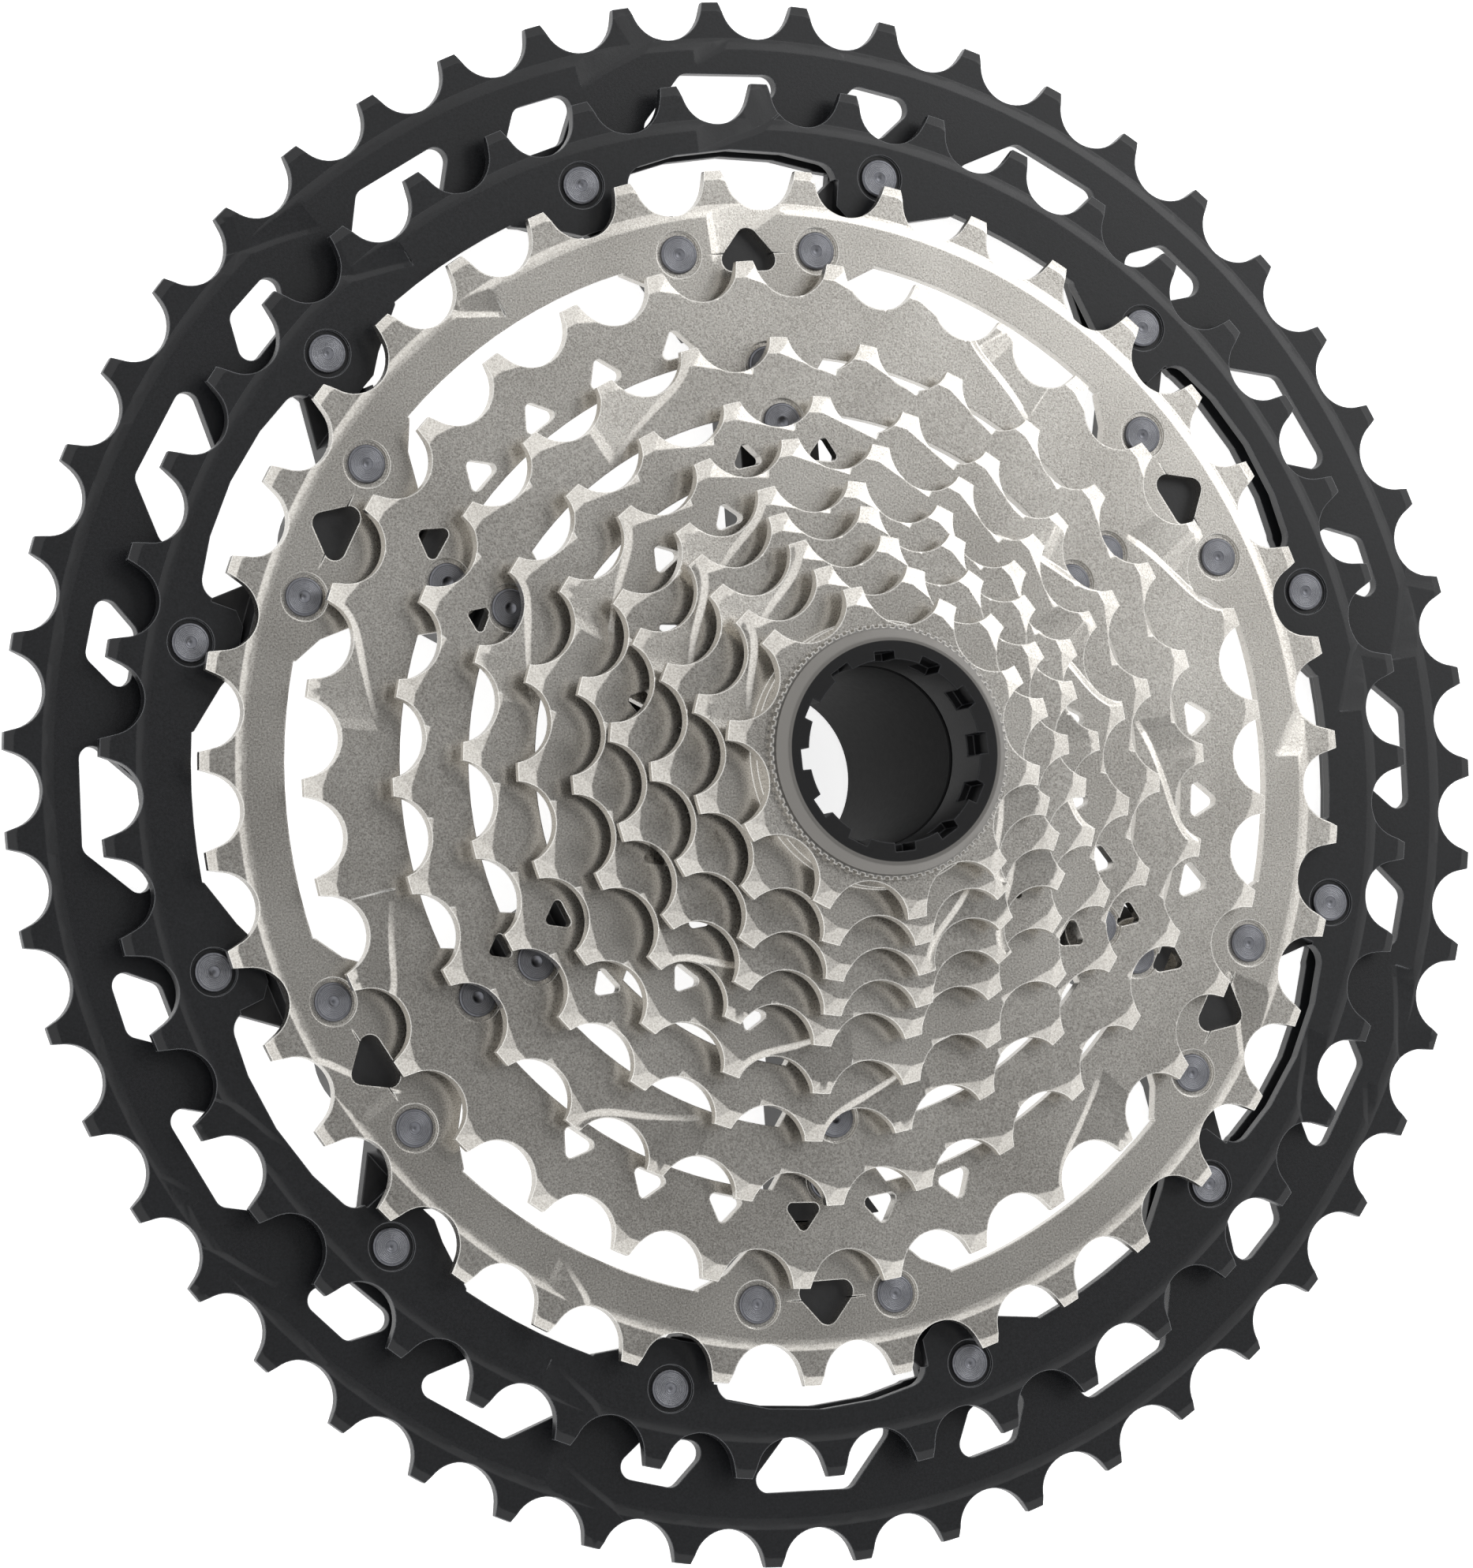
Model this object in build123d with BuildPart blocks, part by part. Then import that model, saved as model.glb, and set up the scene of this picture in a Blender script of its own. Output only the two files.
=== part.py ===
"""Twelve-speed bicycle cassette: stacked sprockets on an armed spider, clamped by a lockring.

Millimetres. +Z runs along the axle towards the lockring, the origin is on the axis in the rear
face of the largest sprocket, and one spider arm points along +Y.
"""
from build123d import *
import math
import os

os.makedirs("parts", exist_ok=True)

# ---------------------------------------------------------------- driving dimensions
CHAIN_PITCH = 12.7           # half-inch chain: it fixes every pitch circle
ROLLER_SEAT_R = 3.97         # how far the roller's seat lies below the pitch circle
SHOULDER_DEPTH = 0.9         # where a gap's curved bottom meets its straight flanks
FLANK_ANGLE = 20             # lean of a tooth's flanks, degrees
TOOTH_TIP_WIDTH = 2.2        # flat left at the end of a tooth
TOOTH_BEVEL = 0.35           # depth of the bevel on the front of the tooth ends

SPROCKET_SPACING = 3.9       # from one sprocket's rear face to the next
PLATE = 1.8                  # sprocket thickness
GAP = SPROCKET_SPACING - PLATE

# teeth, angle of one tooth, tooth end above (+) or below (-) the pitch circle
SPROCKETS = [
    (51, 89.7, 1.0),
    (45, 6.8, 1.5),
    (39, 0.5, 1.5),
    (33, 4.3, 0.9),
    (28, -0.6, 0.3),
    (24, 9.7, 0.1),
    (21, 6.9, 0.1),
    (18, 1.6, 0.2),
    (16, 13.4, 0.5),
    (14, 0.6, 0.4),
    (12, 11.7, 0.4),
    (10, 25.4, 0.9),
]

# spider: six arms, each ending in a fork
ARMS = 6
FIRST_ARM = 90.0
ARM_STEP = 360 / ARMS
ARM_WIDTH = 11.0
FORK_WIDTH = 8.4
FORK_ROOT_BEYOND = 3.3       # how far outside the 33-tooth rivets an arm forks
FORK_WEB_INSIDE = 3.87       # how far inside the 39-tooth rivets the fork's web is centred
FORK_WEB_R = 8.4
FORK_END = 4.94              # how far a fork reaches beyond its outer rivets
HUB_R = 21.0
HUB_REAR_Z = 4.0

# rivet circles
RIVET_HEAD_R = 2.55
RIVET_SHANK_R = 2.0
RIVET_FIT = 0.05             # radial clearance of a rivet in its hole
RIVET_HEAD_T = 0.6
RIVET_MOAT = 0.6             # width of the sunk ring round a rivet head
RIVET_MOAT_DEPTH = 0.5
RIVET_DIMPLE_R = 0.7
R45_SPREAD = 15.0            # the fork's outer rivets stand this far each side of the arm
R39_SPREAD = 8.02
RIVET_DEPTH = {45: 8.98, 39: 9.05, 33: 13.1, 28: 11.02, 24: 14.15}   # inside the pitch circle
SEAT_MARGIN = 0.4            # each step of the spider stands this far inside the pads on it
PAD_R = 5.0                  # round end of the pads that hold one rivet each

# freehub spline shared by the sleeve, the spider and the loose sprockets
SPLINES = 23
SPLINE_CREST_R = 14.9
SPLINE_ROOT_R = 14.2
SPLINE_WIDTH = 2.0
SPLINE_FIT = 0.08            # clearance between the sleeve and every splined bore

# transit sleeve
SLEEVE_WALL = 2.6            # between the bore and the bottom of the splines
SLEEVE_BORE_R = SPLINE_ROOT_R - SLEEVE_WALL
SLEEVE_REAR_Z = 2.0
SLEEVE_COLLAR_LIP = 2.1      # how far the rear collar stands beyond the splines
SLEEVE_COLLAR_R = SPLINE_CREST_R + SLEEVE_COLLAR_LIP
SLEEVE_COLLAR_FIT = 0.15
SLEEVE_SLOT_WIDTH = 7.0
SLEEVE_SLOT_TOP_Z = 14.0
SLEEVE_SLOT_ANGLE = 168.0
SLEEVE_FRONT_SETBACK = 0.3

# lockring and its washer
SOCKET_WALL = 1.25           # sleeve wall left round the lockring's thread
LOCKRING_THREAD_R = SPLINE_ROOT_R - SOCKET_WALL
LOCKRING_THREAD_FIT = 0.08
LOCKRING_WALL = 1.25
LOCKRING_BORE_R = LOCKRING_THREAD_R - LOCKRING_WALL
LOCKRING_FLANGE_R = 15.7
LOCKRING_FLANGE_T = 1.7
LOCKRING_BEVEL = 1.1
LOCKRING_TUBE_LENGTH = 7.6
LOCKRING_SOCKET_GAP = 0.6    # room left below the end of the lockring's tube
NOTCHES = 12
NOTCH_REACH = 1.05           # how far a notch cuts outwards from the bore
NOTCH_R = LOCKRING_BORE_R + NOTCH_REACH
NOTCH_WIDTH = 2.7
NOTCH_DEPTH = 4.2
NOTCH_FIRST = 92.0
WASHER_LIP = 0.6             # how far the washer shows round the lockring
WASHER_R = LOCKRING_FLANGE_R + WASHER_LIP
WASHER_T = 0.9
WASHER_RIBS = 90
WASHER_RIB_DEPTH = 0.35
# bore of the washer and the smallest sprocket, over the lockring's tube
SMALL_BORE_FIT = 0.35
SMALL_BORE_R = LOCKRING_THREAD_R + SMALL_BORE_FIT

# spacers between the loose sprockets
SPACER_FIT = 0.2             # clearance of a spacer over the splines
SPACER_WALL = 3.3
SPACER_BORE_R = SPLINE_CREST_R + SPACER_FIT
SPACER_R = SPACER_BORE_R + SPACER_WALL
SPACER_SCALLOPS = 12
SPACER_SCALLOP_R = 1.6

# ring sections of the sprockets: from the pitch circle in to the open middle
RING_DEPTH = {51: 21.15, 45: 10.44, 39: 9.62, 33: 11.8, 28: 9.72, 24: 9.35, 21: 11.3}

# riveted outer sprockets: their teeth stand back from a raised ring, inside the pitch circle
RIDGE_DEPTH = {51: 5.45, 45: 4.74, 39: 4.62}
TOOTH_SETBACK = 0.35
RIDGE_SLOPE = 1.5            # radial width of the rounded step down to the teeth

# small holes: depth of their circle inside the pitch circle, size, and the teeth they lie under
TOOTH_HOLES = {
    33: (8.6, 3.1, [0, 9, 10, 11, 12, 13, 21, 22, 23, 24, 25, 26, 30, 31, 32]),
    28: (7.52, 2.3, [12, 16, 26]),
    24: (7.05, 2.6, [5, 6, 13, 14, 21, 22]),
    21: (7.6, 2.6, [0, 6, 7, 13, 14, 20]),
    18: (7.97, 2.6, [2, 4, 7, 8, 10, 11, 14, 16, 17]),
}
# round holes: depth of their circle, how many, and the angle of the first
ROUND_HOLES = {18: (13.97, 9, 0), 16: (10.65, 14, 13)}
ROUND_HOLE_R = 2.3


# ---------------------------------------------------------------- shared geometry
def pitch_r(teeth):
    """Pitch circle radius of a sprocket."""
    return CHAIN_PITCH / 2 / math.sin(math.pi / teeth)


def inside_pitch(teeth, depth):
    """Radius that lies a depth inside a sprocket's pitch circle."""
    return pitch_r(teeth) - depth


def ring_inner(teeth):
    """Inner edge radius of a ring sprocket."""
    return inside_pitch(teeth, RING_DEPTH[teeth])


def rivet_r(teeth):
    """Radius of the rivet circle that holds a sprocket to the spider."""
    return inside_pitch(teeth, RIVET_DEPTH[teeth])


def rear_z(teeth):
    """Height of a sprocket's rear face."""
    order = [row[0] for row in SPROCKETS]
    return order.index(teeth) * SPROCKET_SPACING


def front_z(teeth):
    """Height of a sprocket's front face."""
    return rear_z(teeth) + PLATE


def polar(radius, angle):
    """Point at a radius and an angle in degrees."""
    return (radius * math.cos(math.radians(angle)), radius * math.sin(math.radians(angle)))


def arm_angles():
    """Directions of the spider's arms."""
    return [FIRST_ARM + ARM_STEP * i for i in range(ARMS)]


def pair_angles(spread):
    """Directions of two rivets per arm, a spread each side of it."""
    return [a + side * spread for a in arm_angles() for side in (-1, 1)]


def at_angles(radius, angles):
    """Locations at one radius and several angles, turned to face outwards."""
    return Locations(*[Location(polar(radius, a), a) for a in angles])


def gullet(teeth, tip_r):
    """Gap between two teeth on local +X: a roller seat that opens outwards."""
    pitch = pitch_r(teeth)
    open_half = (2 * math.pi * tip_r / teeth - TOOTH_TIP_WIDTH) / 2
    shoulder = pitch - SHOULDER_DEPTH
    narrow_half = open_half - (tip_r - shoulder) * math.tan(math.radians(FLANK_ANGLE))
    with BuildSketch(Plane.XY, mode=Mode.PRIVATE) as gap:
        with BuildLine():
            seat = ThreePointArc((shoulder, -narrow_half), (pitch - ROLLER_SEAT_R, 0),
                                 (shoulder, narrow_half))
            Polyline(seat @ 1, (tip_r, open_half), (tip_r + 3, open_half), (tip_r + 3, -open_half),
                     (tip_r, -open_half), seat @ 0)
        make_face()
    return gap.sketch


def toothed_plate(teeth, phase, tip_height):
    """Solid disc with teeth, bevelled on the front of the tooth ends, from its rear face up."""
    tip_r = pitch_r(teeth) + tip_height
    base = rear_z(teeth)
    gap = gullet(teeth, tip_r)
    with BuildSketch(Plane.XY.offset(base)) as disc:
        Circle(tip_r)
        with PolarLocations(0, teeth, start_angle=phase + 180 / teeth):
            add(gap, mode=Mode.SUBTRACT)
    extrude(disc.sketch, amount=PLATE)
    with BuildSketch(Plane.XZ) as bevel:
        with BuildLine():
            Polyline((tip_r + 1, base + PLATE - 3.2 * TOOTH_BEVEL), (tip_r + 1, base + PLATE + 1),
                     (tip_r - 2.2, base + PLATE + 1), (tip_r - 2.2, base + PLATE), close=True)
        make_face()
    revolve(bevel.sketch, axis=Axis.Z, mode=Mode.SUBTRACT)


def set_teeth_back(teeth):
    """Lowers the front of the teeth below the ring, with a rounded step at the ridge."""
    top = front_z(teeth)
    edge = inside_pitch(teeth, RIDGE_DEPTH[teeth])
    reach = pitch_r(teeth) + 4
    with BuildSketch(Plane.XZ) as step:
        with BuildLine():
            curve = ThreePointArc((edge, top), (edge + RIDGE_SLOPE * 0.55, top - TOOTH_SETBACK * 0.35),
                                  (edge + RIDGE_SLOPE, top - TOOTH_SETBACK))
            Polyline(curve @ 1, (reach, top - TOOTH_SETBACK), (reach, top + 1), (edge, top + 1),
                     curve @ 0)
        make_face()
    revolve(step.sketch, axis=Axis.Z, mode=Mode.SUBTRACT)


def ring_opening(teeth):
    """Cuts the open middle of a ring sprocket."""
    with BuildSketch(Plane.XY.offset(rear_z(teeth))) as middle:
        Circle(ring_inner(teeth))
    extrude(middle.sketch, amount=PLATE, mode=Mode.SUBTRACT)


def pads(teeth):
    """Adds one round-ended pad per arm, from the ring inwards round a rivet."""
    reach = ring_inner(teeth) + 1.5
    rivet = rivet_r(teeth)
    with BuildSketch(Plane.XY.offset(rear_z(teeth))) as pad:
        for angle in arm_angles():
            inner = polar(rivet, angle)
            outer = polar(reach, angle)
            with Locations(inner):
                Circle(PAD_R)
            with Locations(Location(inner, angle)):
                Rectangle(reach - rivet, 2 * PAD_R, align=(Align.MIN, Align.CENTER))
            with Locations(Location(outer, angle + 90)):
                Trapezoid(2 * PAD_R + 9, 5, 55, align=(Align.CENTER, Align.MIN))
    extrude(pad.sketch, amount=PLATE)


def rivet_holes(teeth, radius, angles):
    """Cuts rivet holes with a sunk ring round each head, in a sprocket's front face."""
    with BuildSketch(Plane.XY.offset(rear_z(teeth))) as bores:
        with at_angles(radius, angles):
            Circle(RIVET_SHANK_R + RIVET_FIT)
    extrude(bores.sketch, amount=PLATE, mode=Mode.SUBTRACT)
    with BuildSketch(Plane.XY.offset(front_z(teeth))) as moats:
        with at_angles(radius, angles):
            Circle(RIVET_HEAD_R + RIVET_MOAT)
    extrude(moats.sketch, amount=-RIVET_MOAT_DEPTH, mode=Mode.SUBTRACT)


def spline_bore(low, high):
    """Cuts the splined bore that slides over the freehub, between two heights."""
    with BuildSketch(Plane.XY.offset(low)) as bore:
        Circle(SPLINE_ROOT_R + SPLINE_FIT)
        with PolarLocations(SPLINE_ROOT_R - 1, SPLINES, start_angle=FIRST_ARM):
            Rectangle(SPLINE_CREST_R + SPLINE_FIT - SPLINE_ROOT_R + 1, SPLINE_WIDTH + 2 * SPLINE_FIT,
                      align=(Align.MIN, Align.CENTER))
    extrude(bore.sketch, amount=high - low, mode=Mode.SUBTRACT)


def window_corners(radius_out, radius_in, out_from, out_to, in_from, in_to):
    """Four corners of a window between two radii."""
    return [polar(radius_out, out_from), polar(radius_out, out_to),
            polar(radius_in, in_to), polar(radius_in, in_from)]


def tooth_holes(teeth):
    """Cuts small rounded-triangle holes under the picked teeth, points outwards."""
    depth, size, picked = TOOTH_HOLES[teeth]
    radius = inside_pitch(teeth, depth)
    with BuildSketch(Plane.XY.offset(rear_z(teeth))) as holes:
        for index in picked:
            angle = PHASE[teeth] + index * 360 / teeth
            middle = Vector(*polar(radius, angle))
            out = Vector(*polar(1, angle))
            side = Vector(*polar(1, angle + 90))
            base = middle - out * size * 0.55
            with BuildLine():
                Polyline(base - side * size * 0.95, middle + out * size * 0.8, base + side * size * 0.95,
                         close=True)
            make_face()
        fillet(holes.vertices(), size * 0.25)
    extrude(holes.sketch, amount=PLATE, mode=Mode.SUBTRACT)


def round_holes(teeth):
    """Cuts a circle of round holes."""
    depth, count, first = ROUND_HOLES[teeth]
    with BuildSketch(Plane.XY.offset(rear_z(teeth))) as holes:
        with PolarLocations(inside_pitch(teeth, depth), count, start_angle=first):
            Circle(ROUND_HOLE_R)
    extrude(holes.sketch, amount=PLATE, mode=Mode.SUBTRACT)


def finish(part, name):
    """Labels a finished piece and writes its STEP file."""
    part.label = name
    export_step(part, f"parts/{name}.step")


PHASE = {row[0]: row[1] for row in SPROCKETS}
TIP = {row[0]: row[2] for row in SPROCKETS}

# ---------------------------------------------------------------- 51-tooth sprocket
TRUSS_OUTER_R = inside_pitch(51, 8.55)
SMALL_WINDOW_INNER_R = inside_pitch(51, 14.95)
LARGE_WINDOW_INNER_R = inside_pitch(51, 16.95)
FORK_PAD_DEPTH = 6.4         # from the fork's outer rivets in to the pads' inner edge
TRUSS_STEP = 30
TRUSS_CORNER = 1.7


def rivet_pads(teeth, notch_deep, notch_half):
    """Inner edge of the two fork-riveted sprockets: pads at the rivets, notched at each arm."""
    pad_inner = rivet_r(45) - FORK_PAD_DEPTH
    notch_r = ring_inner(teeth) + notch_deep
    clear_r = pad_inner - 5
    with BuildSketch(Plane.XY.offset(rear_z(teeth))) as plates:
        for arm in arm_angles():
            for side in (-1, 1):
                pad = [polar(ring_inner(teeth) + 2, arm + side * (R45_SPREAD + 9)),
                       polar(ring_inner(teeth) - 0.3, arm + side * (R45_SPREAD + 8)),
                       polar(pad_inner + 1.6, arm + side * (R45_SPREAD + 3.6)),
                       polar(pad_inner, arm + side * (R45_SPREAD + 1.6)),
                       polar(pad_inner, arm + side * (R45_SPREAD - 2.6)),
                       polar(pad_inner + 1.4, arm + side * (R45_SPREAD - 4.0)),
                       polar(ring_inner(teeth) + 2, arm + side * (R45_SPREAD - 4.2))]
                with BuildLine():
                    Polyline(*pad, close=True)
                make_face()
    extrude(plates.sketch, amount=PLATE)
    with BuildSketch(Plane.XY.offset(rear_z(teeth))) as notch:
        for arm in arm_angles():
            with BuildLine():
                Polyline(polar(notch_r, arm - notch_half), polar(notch_r + 0.9, arm - notch_half / 2),
                         polar(notch_r + 1.2, arm), polar(notch_r + 0.9, arm + notch_half / 2),
                         polar(notch_r, arm + notch_half), polar(clear_r, arm + notch_half),
                         polar(clear_r, arm - notch_half), close=True)
            make_face()
        corners = notch.vertices().filter_by(lambda v: abs(math.hypot(v.X, v.Y) - notch_r) < 0.01)
        fillet(corners, 2.6)
    extrude(notch.sketch, amount=PLATE, mode=Mode.SUBTRACT)


with BuildPart() as sprocket_51t:
    toothed_plate(51, PHASE[51], TIP[51])
    set_teeth_back(51)
    ring_opening(51)
    rivet_pads(51, 0.0, 10.4)
    with BuildSketch(Plane.XY) as truss:
        for step in range(0, 360, TRUSS_STEP):
            small = window_corners(TRUSS_OUTER_R, SMALL_WINDOW_INNER_R, step + 11.8, step + 17.6,
                                   step + 14.6, step + 20.6)
            large = window_corners(TRUSS_OUTER_R, LARGE_WINDOW_INNER_R, step + 23.4, step + 32.8,
                                   step + 27.6, step + 38.4)
            for corners in (small, large):
                with BuildLine():
                    Polyline(*corners, close=True)
                make_face()
        fillet(truss.vertices(), TRUSS_CORNER)
    extrude(amount=PLATE, mode=Mode.SUBTRACT)
    with BuildSketch(Plane.XY):
        with at_angles(rivet_r(45), pair_angles(R45_SPREAD)):
            Circle(RIVET_SHANK_R + RIVET_FIT)
    extrude(amount=PLATE, mode=Mode.SUBTRACT)
    with BuildSketch(Plane.XY):
        with at_angles(rivet_r(45), pair_angles(R45_SPREAD)):
            Circle(RIVET_HEAD_R + RIVET_FIT)
    extrude(amount=RIVET_HEAD_T + RIVET_FIT, mode=Mode.SUBTRACT)
finish(sprocket_51t.part, "sprocket_51t")

# ---------------------------------------------------------------- 45-tooth sprocket
with BuildPart() as sprocket_45t:
    toothed_plate(45, PHASE[45], TIP[45])
    set_teeth_back(45)
    ring_opening(45)
    rivet_pads(45, 1.8, 10.6)
    rivet_holes(45, rivet_r(45), pair_angles(R45_SPREAD))
finish(sprocket_45t.part, "sprocket_45t")

# ---------------------------------------------------------------- 39-tooth sprocket
EYE_POINT_R = inside_pitch(39, 5.52)
EYE_BASE_R = inside_pitch(39, 11.92)
EYE_HALF_ANGLE = 4.7
EYE_CORNER = 1.5
# half of the pad at an arm: depth inside the pitch circle and degrees from the arm
PAD_39T = [(7.42, 15.0), (9.92, 15.0), (12.52, 12.0), (16.32, 9.4), (19.72, 5.6)]

with BuildPart() as sprocket_39t:
    toothed_plate(39, PHASE[39], TIP[39])
    set_teeth_back(39)
    ring_opening(39)
    with BuildSketch(Plane.XY.offset(rear_z(39))) as pad_sketch:
        for arm in arm_angles():
            with BuildLine():
                left = [polar(inside_pitch(39, depth), arm - a) for depth, a in PAD_39T]
                right = [polar(inside_pitch(39, depth), arm + a) for depth, a in reversed(PAD_39T)]
                Polyline(*left, *right, close=True)
            make_face()
    extrude(amount=PLATE)
    with BuildSketch(Plane.XY.offset(rear_z(39))) as eyes:
        for arm in arm_angles():
            with BuildLine():
                Polyline(polar(EYE_POINT_R, arm), polar(EYE_BASE_R, arm - EYE_HALF_ANGLE),
                         polar(EYE_BASE_R, arm + EYE_HALF_ANGLE), close=True)
            make_face()
        fillet(eyes.vertices(), EYE_CORNER)
    extrude(amount=PLATE, mode=Mode.SUBTRACT)
    rivet_holes(39, rivet_r(39), pair_angles(R39_SPREAD))
finish(sprocket_39t.part, "sprocket_39t")

# ---------------------------------------------------------------- 33, 28 and 24-tooth sprockets
with BuildPart() as sprocket_33t:
    toothed_plate(33, PHASE[33], TIP[33])
    ring_opening(33)
    pads(33)
    rivet_holes(33, rivet_r(33), arm_angles())
    tooth_holes(33)
finish(sprocket_33t.part, "sprocket_33t")

with BuildPart() as sprocket_28t:
    toothed_plate(28, PHASE[28], TIP[28])
    ring_opening(28)
    pads(28)
    rivet_holes(28, rivet_r(28), arm_angles())
    tooth_holes(28)
finish(sprocket_28t.part, "sprocket_28t")

with BuildPart() as sprocket_24t:
    toothed_plate(24, PHASE[24], TIP[24])
    ring_opening(24)
    pads(24)
    rivet_holes(24, rivet_r(24), arm_angles())
    tooth_holes(24)
finish(sprocket_24t.part, "sprocket_24t")

# ---------------------------------------------------------------- loose sprockets, 21 to 10 teeth
with BuildPart() as sprocket_21t:
    toothed_plate(21, PHASE[21], TIP[21])
    with BuildSketch(Plane.XY.offset(rear_z(21))) as gaps:
        for arm in arm_angles():
            middle = arm + ARM_STEP / 2
            with BuildLine():
                Polyline(*window_corners(ring_inner(21), HUB_R + 1, middle - 21, middle + 21,
                                         middle - 17, middle + 17), close=True)
            make_face()
        fillet(gaps.vertices(), 1.5)
    extrude(amount=PLATE, mode=Mode.SUBTRACT)
    spline_bore(rear_z(21), front_z(21))
    tooth_holes(21)
finish(sprocket_21t.part, "sprocket_21t")

with BuildPart() as sprocket_18t:
    toothed_plate(18, PHASE[18], TIP[18])
    spline_bore(rear_z(18), front_z(18))
    tooth_holes(18)
    round_holes(18)
finish(sprocket_18t.part, "sprocket_18t")

with BuildPart() as sprocket_16t:
    toothed_plate(16, PHASE[16], TIP[16])
    spline_bore(rear_z(16), front_z(16))
    round_holes(16)
finish(sprocket_16t.part, "sprocket_16t")

with BuildPart() as sprocket_14t:
    toothed_plate(14, PHASE[14], TIP[14])
    spline_bore(rear_z(14), front_z(14))
finish(sprocket_14t.part, "sprocket_14t")

with BuildPart() as sprocket_12t:
    toothed_plate(12, PHASE[12], TIP[12])
    with BuildSketch(Plane.XY.offset(front_z(12))):
        Circle(SPACER_R - 1.2)
    extrude(amount=GAP)
    spline_bore(rear_z(12), rear_z(10))
finish(sprocket_12t.part, "sprocket_12t")

with BuildPart() as sprocket_10t:
    toothed_plate(10, PHASE[10], TIP[10])
    with BuildSketch(Plane.XY.offset(rear_z(10))):
        Circle(SMALL_BORE_R)
    extrude(amount=PLATE, mode=Mode.SUBTRACT)
finish(sprocket_10t.part, "sprocket_10t")

# ---------------------------------------------------------------- spacers between loose sprockets
for behind, ahead in ((21, 18), (18, 16), (16, 14), (14, 12)):
    with BuildPart() as spacer:
        with BuildSketch(Plane.XY.offset(front_z(behind))):
            Circle(SPACER_R)
            Circle(SPACER_BORE_R, mode=Mode.SUBTRACT)
            with PolarLocations(SPACER_R + 0.4, SPACER_SCALLOPS):
                Circle(SPACER_SCALLOP_R, mode=Mode.SUBTRACT)
        extrude(amount=GAP)
    finish(spacer.part, f"spacer_{behind}t_{ahead}t")

# ---------------------------------------------------------------- spider
# each seat: inner and outer radius, height of its front, height of its rear
SEAT_24T_R = rivet_r(24) - PAD_R - SEAT_MARGIN
SEAT_28T_R = rivet_r(28) - PAD_R - SEAT_MARGIN
SEAT_33T_R = rivet_r(33) - PAD_R - SEAT_MARGIN
SEAT_39T_R = inside_pitch(39, PAD_39T[-1][0]) - SEAT_MARGIN
SEAT_45T_R = rivet_r(45) - FORK_PAD_DEPTH - SEAT_MARGIN
FORK_ROOT_R = rivet_r(33) + FORK_ROOT_BEYOND
SEATS = [
    (HUB_R - 1, SEAT_24T_R, rear_z(24) - 2.0, 8.0),
    (SEAT_24T_R, SEAT_28T_R, rear_z(24), 8.0),
    (SEAT_28T_R, SEAT_33T_R, rear_z(28), 6.0),
    (SEAT_33T_R, SEAT_39T_R, rear_z(33), 3.6),
    (SEAT_39T_R, SEAT_45T_R, rear_z(39), PLATE),
    (SEAT_45T_R, rivet_r(45) + FORK_END, rear_z(45), PLATE),
]


def arm_plan():
    """Outline of all six arms: a trunk, two prongs and two fork ends each."""
    for arm in arm_angles():
        trunk_mid = (FORK_ROOT_R + HUB_R - 3) / 2
        with Locations(Location(polar(trunk_mid, arm), arm)):
            Rectangle(FORK_ROOT_R - HUB_R + 5, ARM_WIDTH)
        with Locations(polar(FORK_ROOT_R, arm)):
            Circle(ARM_WIDTH / 2)
        with Locations(polar(rivet_r(39) - FORK_WEB_INSIDE, arm)):
            Circle(FORK_WEB_R)
        for side in (-1, 1):
            root = Vector(*polar(FORK_ROOT_R, arm + side * 1.5))
            knee = Vector(*polar(rivet_r(39), arm + side * R39_SPREAD))
            end = Vector(*polar(rivet_r(45), arm + side * R45_SPREAD))
            SlotCenterPoint((root + knee) / 2, knee, FORK_WIDTH)
            SlotCenterPoint((knee + end) / 2, end, FORK_WIDTH)


with BuildPart() as beam_spider:
    for seat_in, seat_out, seat_front, seat_rear in SEATS:
        with BuildSketch(Plane.XY.offset(seat_rear)):
            arm_plan()
            Circle(seat_out, mode=Mode.INTERSECT)
            Circle(seat_in, mode=Mode.SUBTRACT)
        extrude(amount=seat_front - seat_rear)
    with BuildSketch(Plane.XY.offset(HUB_REAR_Z)):
        Circle(HUB_R)
    extrude(amount=rear_z(21) - HUB_REAR_Z)
    spline_bore(HUB_REAR_Z, rear_z(21))
    with BuildSketch(Plane.XY):
        with at_angles(rivet_r(45), pair_angles(R45_SPREAD)):
            Circle(RIVET_SHANK_R + RIVET_FIT)
        with at_angles(rivet_r(39), pair_angles(R39_SPREAD)):
            Circle(RIVET_SHANK_R + RIVET_FIT)
        for radius in (rivet_r(33), rivet_r(28), rivet_r(24)):
            with at_angles(radius, arm_angles()):
                Circle(RIVET_SHANK_R + RIVET_FIT)
    extrude(amount=rear_z(21), mode=Mode.SUBTRACT)
finish(beam_spider.part, "beam_spider")


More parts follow.
